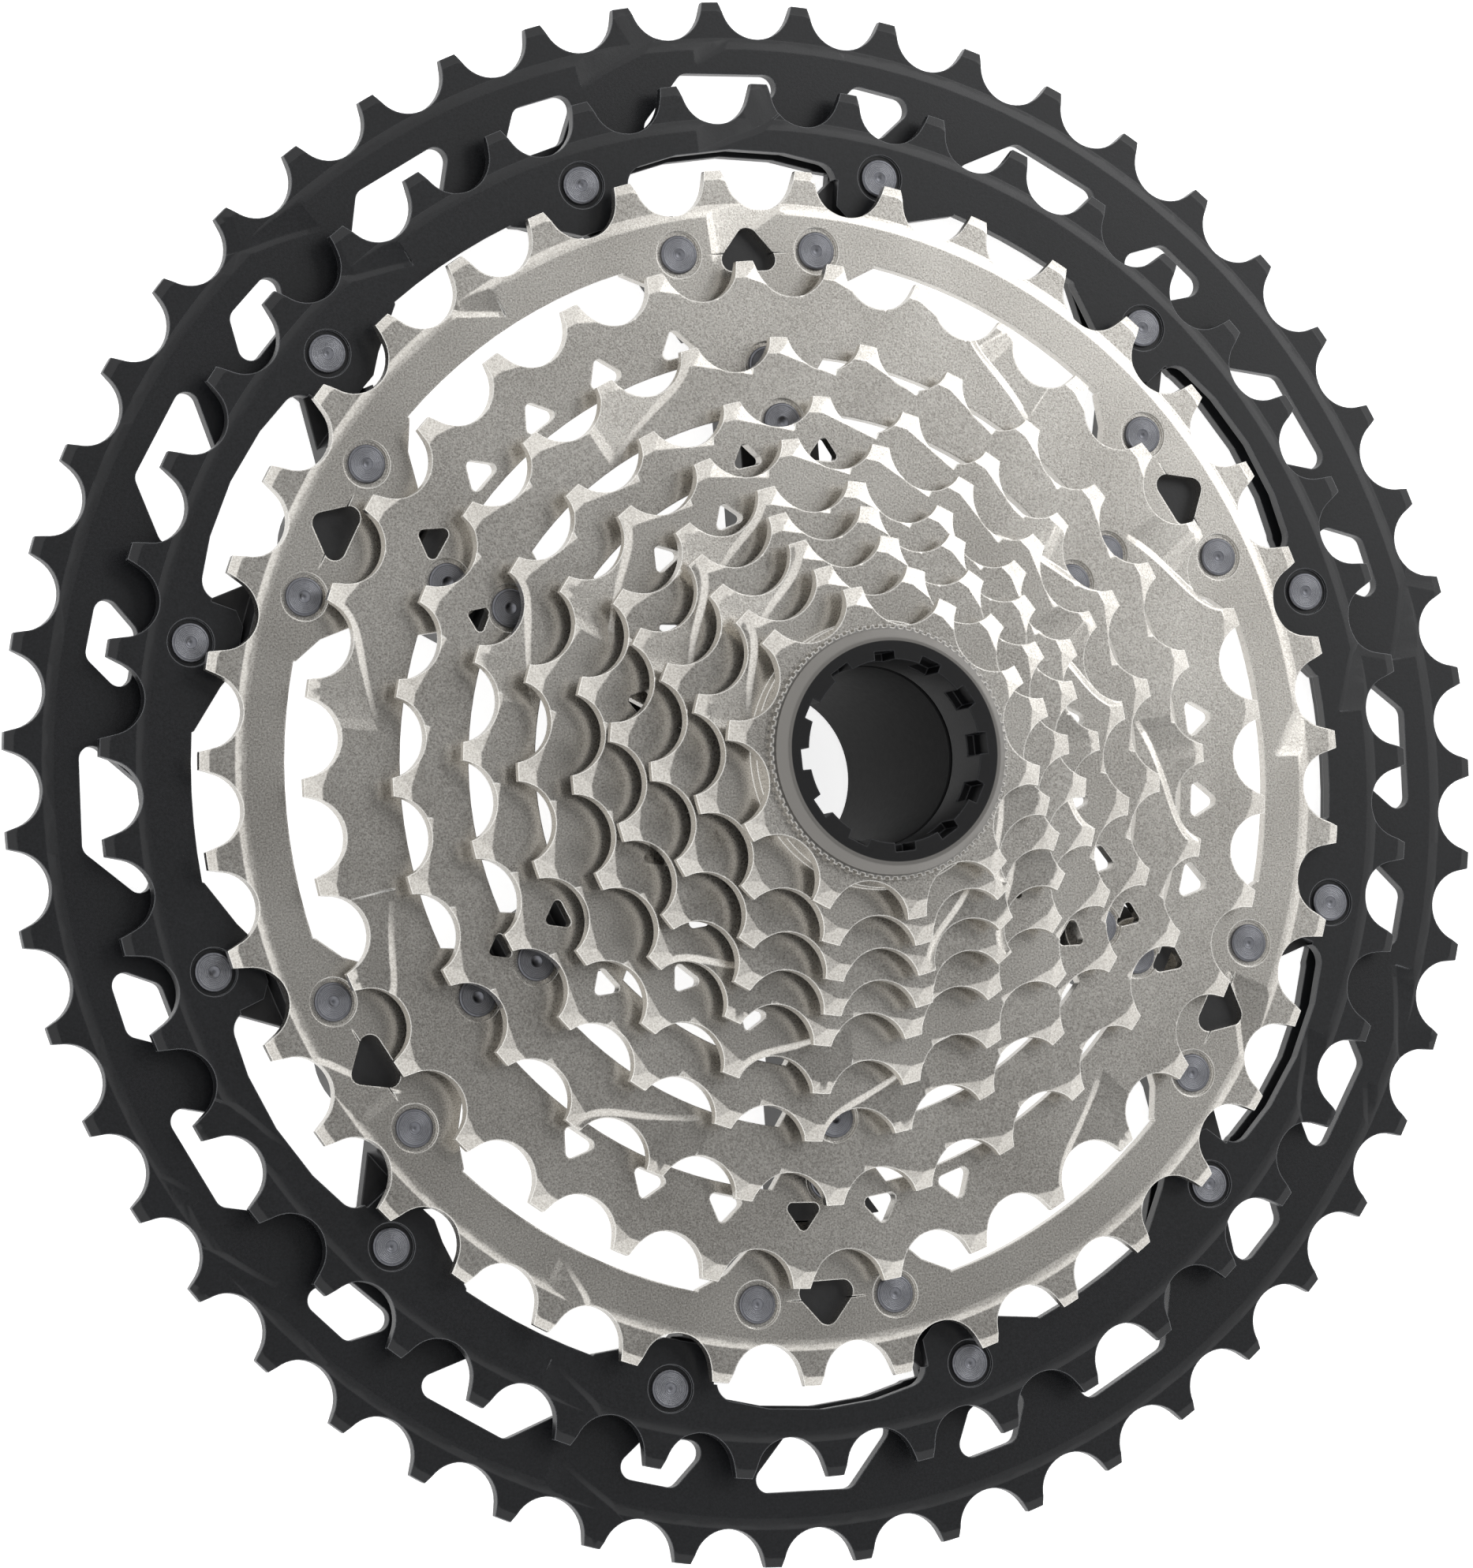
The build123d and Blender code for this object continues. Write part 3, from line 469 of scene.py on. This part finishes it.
SPROCKETS = {
    51: (89.7, 1.0, every(120, (92.5, 9, 95.2, 0.7), (15.5, -8.5, 94.2, 0.6), (87.0, 4.5, 96.2, 0.45))),
    45: (6.8, 1.5, every(120, (84.0, 9, 83.6, 0.7), (10.6, -7.5, 83.4, 0.6))),
    39: (0.5, 1.5, every(120, (84.8, 9.5, 68.4, 0.7), (5.0, -6, 71.2, 0.6))),
    33: (4.3, 0.9, [(16.5, 14, 58.0, 0.7), (158.0, 14, 58.0, 0.7), (300.0, 14, 58.0, 0.7),
                    (64, -13, 58.6, 0.6), (206, -14, 58.6, 0.6)]),
    28: (-0.6, 0.3, [(103.0, 18, 47.8, 0.7), (231.0, 18, 47.8, 0.7), (347.0, 18, 47.8, 0.7)]),
    24: (9.7, 0.1, [(27.0, 20, 40.2, 0.7), (146.0, 20, 40.2, 0.7), (266.0, 20, 40.2, 0.7)]),
    21: (6.9, 0.1, [(128.0, 22, 34.0, 0.7), (248.0, 22, 34.0, 0.7), (8.0, 22, 34.0, 0.7)]),
    18: (1.6, 0.2, [(103.0, 26, 28.0, 0.7), (223.0, 26, 28.0, 0.7), (343.0, 26, 28.0, 0.7)]),
    16: (13.4, 0.5, [(126.0, 28, 24.5, 0.7), (306.0, 28, 24.5, 0.7)]),
    14: (0.6, 0.4, [(104.0, 32, 20.8, 0.7), (284.0, 32, 20.8, 0.7)]),
    12: (11.7, 0.4, [(132.0, 36, 17.6, 0.6), (312.0, 36, 17.6, 0.6)]),
    10: (25.4, 0.9, []),
}


# %% Build the sprockets
def build_sprocket(teeth, first_angle, tip_height, ramps):
    """A finished sprocket that stands for its CAD node."""
    pitch_radius = CHAIN_PITCH / 2 / math.sin(math.pi / teeth)
    tip = pitch_radius + tip_height
    root = pitch_radius - SEAT
    cad_name = f"sprocket_{teeth}t"
    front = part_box(cad_name)[1][2] / MM
    if teeth == 12:
        # a boss stands in front of this one, so its front is found from its rear face
        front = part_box(cad_name)[0][2] / MM + PLATE
    plate = merged_copy(cad_name, f"plate_{teeth}t")
    finish = black_anodised if teeth > BLACK_ABOVE else nickel_steel
    if ramps:
        cutter = ramp_set(f"ramps_{teeth}t", front, tip, root, ramps)
        cut = plate.modifiers.new("ramps", "BOOLEAN")
        cut.operation = "DIFFERENCE"
        cut.solver = "MANIFOLD"
        cut.object = cutter
    add_tree(plate, tooth_facets, teeth=teeth, first_angle=math.radians(first_angle),
             facet_radius=(tip - FACET_LENGTH) * MM, front_height=front * MM,
             drop=math.radians(FACET_DROP), skew=math.radians(FACET_SKEW), material=finish)
    baked(plate, finish)
    if ramps:
        bpy.data.objects.remove(cutter)
    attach(plate, "sprocket_stack")
    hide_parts(cad_name)
    return plate


for teeth, (first_angle, tip_height, ramps) in SPROCKETS.items():
    plate = build_sprocket(teeth, first_angle, tip_height, ramps)
    print(plate.name, "faces", len(plate.data.polygons))

# %% [markdown]
# ## Spider, spacers, lockring and sleeve
# These keep their CAD shapes, which already have the right outline. A narrow bevel catches light
# along their edges, as on a forged or moulded piece.

# %% Carried-over pieces
CARRIED = {
    "beam_spider": (black_paint, 0.3), "lockring": (lockring_black, 0.12),
    "lockring_washer": (washer_steel, 0.08), "transit_sleeve": (sleeve_plastic, 0.2),
    "spacer_21t_18t": (spacer_plastic, 0.15), "spacer_18t_16t": (spacer_plastic, 0.15),
    "spacer_16t_14t": (spacer_plastic, 0.15), "spacer_14t_12t": (spacer_plastic, 0.15),
}
for name, (finish, width) in CARRIED.items():
    owner = {"lockring": "lockring_body", "lockring_washer": "washer_body",
             "transit_sleeve": "sleeve_body"}.get(name, "sprocket_stack")
    piece = soften(merged_copy(name, f"{name}_piece"), width)
    baked(piece, finish, sharp=40)
    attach(piece, owner)
    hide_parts(name)
    print(piece.name, "faces", len(piece.data.polygons))

# %% [markdown]
# ## Rivets
# One rivet is turned from a profile: a dimple in the middle, fine tool circles, a rounded rim, the
# shank and a set tail. A Geometry Nodes tree then places copies of it round the axle, one or two
# at each arm of the spider.

# %% Turned rivet and its Geometry Nodes tree
HEAD_R, HEAD_T, SHANK_R = 2.55, 0.5, 2.0
TAIL_T = 0.6
TOOL_CIRCLES = 6
AROUND = 48


def turned_rivet(name, length):
    """A rivet turned round its own axis, with the middle of its head at the origin."""
    profile = [(0.3, -0.24), (0.55, -0.12), (0.7, 0)]
    for i in range(TOOL_CIRCLES):
        middle = 0.95 + 0.22 * i
        profile += [(middle - 0.05, 0), (middle, -0.03), (middle + 0.05, 0)]
    profile += [(2.3, 0), (2.46, -0.05), (HEAD_R, -0.18), (HEAD_R, -HEAD_T), (SHANK_R, -HEAD_T),
                (SHANK_R, TAIL_T - length), (HEAD_R, TAIL_T - length), (HEAD_R, 0.12 - length),
                (2.4, -length)]
    skin = bmesh.new()
    rings = []
    for r, z in profile:
        turns = [2 * math.pi * k / AROUND for k in range(AROUND)]
        rings.append([skin.verts.new((r * MM * math.cos(a), r * MM * math.sin(a), z * MM))
                      for a in turns])
    for one, two in zip(rings, rings[1:]):
        for k in range(AROUND):
            skin.faces.new((one[k], two[k], two[(k + 1) % AROUND], one[(k + 1) % AROUND]))
    skin.faces.new(rings[0])
    skin.faces.new(rings[-1][::-1])
    mesh = bpy.data.meshes.new(name)
    skin.to_mesh(mesh)
    skin.free()
    mesh.polygons.foreach_set("use_smooth", [True] * len(mesh.polygons))
    mesh.set_sharp_from_angle(angle=math.radians(40))
    return bpy.data.objects.new(name, mesh)


def rivet_tree():
    """A tree that sets copies of a rivet round the axle, at a spread from each spider arm."""
    tree = bpy.data.node_groups.new("rivet_circle", "GeometryNodeTree")
    sockets = tree.interface
    sockets.new_socket("Geometry", in_out="INPUT", socket_type="NodeSocketGeometry")
    sockets.new_socket("Rivet", in_out="INPUT", socket_type="NodeSocketObject")
    for name in ("Circle Radius", "Head Height", "Spread", "First Angle"):
        sockets.new_socket(name, in_out="INPUT", socket_type="NodeSocketFloat")
    sockets.new_socket("Arms", in_out="INPUT", socket_type="NodeSocketInt")
    sockets.new_socket("Material", in_out="INPUT", socket_type="NodeSocketMaterial")
    sockets.new_socket("Geometry", in_out="OUTPUT", socket_type="NodeSocketGeometry")
    given = tree.nodes.new("NodeGroupInput").outputs
    made = node(tree, "GeometryNodeObjectInfo", {"Object": given["Rivet"]})
    spot = node(tree, "ShaderNodeCombineXYZ", {"X": given["Circle Radius"], "Z": given["Head Height"]})
    placed = node(tree, "GeometryNodeTransform",
                  {"Geometry": made.outputs["Geometry"], "Translation": spot.outputs[0]})
    rows = tree.nodes.new("GeometryNodeJoinGeometry")
    for side in (-1, 1):
        points = node(tree, "GeometryNodePoints", {"Count": given["Arms"]})
        number = node(tree, "GeometryNodeInputIndex")
        share = node(tree, "ShaderNodeMath", {0: number.outputs[0], 1: given["Arms"]},
                     operation="DIVIDE")
        offset = node(tree, "ShaderNodeMath", {0: given["Spread"], 1: side, 2: given["First Angle"]},
                      operation="MULTIPLY_ADD")
        angle = node(tree, "ShaderNodeMath", {0: share.outputs[0], 1: 2 * math.pi,
                                              2: offset.outputs[0]}, operation="MULTIPLY_ADD")
        around = node(tree, "ShaderNodeCombineXYZ", {"Z": angle.outputs[0]})
        copies = node(tree, "GeometryNodeInstanceOnPoints",
                      {"Points": points.outputs[0], "Instance": placed.outputs[0],
                       "Rotation": around.outputs[0]})
        tree.links.new(copies.outputs[0], rows.inputs[0])
    real = node(tree, "GeometryNodeRealizeInstances", {"Geometry": rows.outputs[0]})
    single = node(tree, "GeometryNodeMergeByDistance",
                  {"Geometry": real.outputs[0], "Distance": 0.0005 * MM})
    plated = node(tree, "GeometryNodeSetMaterial",
                  {"Geometry": single.outputs[0], "Material": given["Material"]})
    out = tree.nodes.new("NodeGroupOutput")
    tree.links.new(plated.outputs[0], out.inputs["Geometry"])
    return tree


rivet_circle = rivet_tree()
print("tree", rivet_circle.name, "nodes", len(rivet_circle.nodes))

# %% Rivet circles
# degrees each side of an arm; no spread gives one rivet per arm
RIVETS = {"rivets_45t": 15.0, "rivets_39t": 8.02, "rivets_33t": 0, "rivets_28t": 0, "rivets_24t": 0}
ARMS = 6

for name, spread in RIVETS.items():
    low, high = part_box(name)
    # the rivets nearest +Y touch the top of the CAD box, which gives the circle they stand on
    circle = (high[1] / MM - HEAD_R) / math.cos(math.radians(spread))
    print(name, "circle", round(circle, 3))
    rivet = turned_rivet(f"{name}_one", (high[2] - low[2]) / MM)
    bpy.context.scene.collection.objects.link(rivet)
    piece = bpy.data.objects.new(f"{name}_piece", bpy.data.meshes.new(f"{name}_piece"))
    bpy.context.scene.collection.objects.link(piece)
    add_tree(piece, rivet_circle, rivet=rivet, circle_radius=circle * MM, head_height=high[2],
             spread=math.radians(spread), first_angle=math.radians(90), arms=ARMS,
             material=rivet_steel)
    evaluated_mesh(piece)
    bpy.data.objects.remove(rivet)
    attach(piece, "sprocket_stack")
    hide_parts(name)
    print(piece.name, "faces", len(piece.data.polygons))

# %% [markdown]
# ## Studio
# The cassette lies on a white sweep that also glows, so the gaps between plates stay light. It
# stands in a white tent with a dark patch where the flat fronts reflect, so that they read as mid
# grey while slanted facets and ramp walls flash. One soft panel on the right lights that side.

# %% Floor
FLOOR_REACH, FLOOR_Z = 6, -0.0004     # metres
floor_mesh = bpy.data.meshes.new("floor")
corners = [(x * FLOOR_REACH, y * FLOOR_REACH, FLOOR_Z) for x, y in ((-1, -1), (1, -1), (1, 1), (-1, 1))]
floor_mesh.from_pydata(corners, [], [(0, 1, 2, 3)])
floor = bpy.data.objects.new("floor", floor_mesh)
bpy.context.scene.collection.objects.link(floor)
sweep, _, shader, _ = new_material("white_sweep", 0.8, 0.0)
shader.inputs["Base Color"].default_value = linear("#F4F4F4")
shader.inputs["Emission Color"].default_value = linear("#FFFFFF")
shader.inputs["Emission Strength"].default_value = 0.8
floor_mesh.materials.append(sweep)
print("floor at", FLOOR_Z)

# %% Lights
aim = Vector((0, 0, 0.02))
turn = camera.rotation_euler.to_matrix()
right, up, toward = turn.col[0], turn.col[1], turn.col[2]


def panel(name, across, above, nearer, size, power):
    """A square soft light, placed by distances along the camera's own axes."""
    data = bpy.data.lights.new(name, "AREA")
    data.shape = "SQUARE"
    data.size = size
    data.energy = power
    light = bpy.data.objects.new(name, data)
    light.location = aim + right * across + up * above + toward * nearer
    light.rotation_euler = (light.location - aim).to_track_quat("Z", "Y").to_euler()
    bpy.context.scene.collection.objects.link(light)
    return light


panel("key_panel", 0.95, 0.55, 0.5, 0.6, 3.4)

# %% White tent with a dark patch
PATCH_TOWARDS = (0.27, -0.02, 0.963)  # roughly where level faces mirror the camera
world = bpy.data.worlds.new("studio")
world.use_nodes = True
sky = world.node_tree
direction = node(sky, "ShaderNodeTexCoord").outputs["Generated"]
facing = node(sky, "ShaderNodeVectorMath", {0: direction, 1: PATCH_TOWARDS},
              operation="DOT_PRODUCT")
tent = node(sky, "ShaderNodeMapRange", {"Value": facing.outputs["Value"], "From Min": 0.85,
                                        "From Max": 0.985, "To Min": 1.35, "To Max": 0.14})
sky.nodes["Background"].inputs["Color"].default_value = (1, 1, 1, 1)
sky.links.new(tent.outputs[0], sky.nodes["Background"].inputs["Strength"])
bpy.context.scene.world = world
bpy.context.scene.view_settings.view_transform = "Standard"
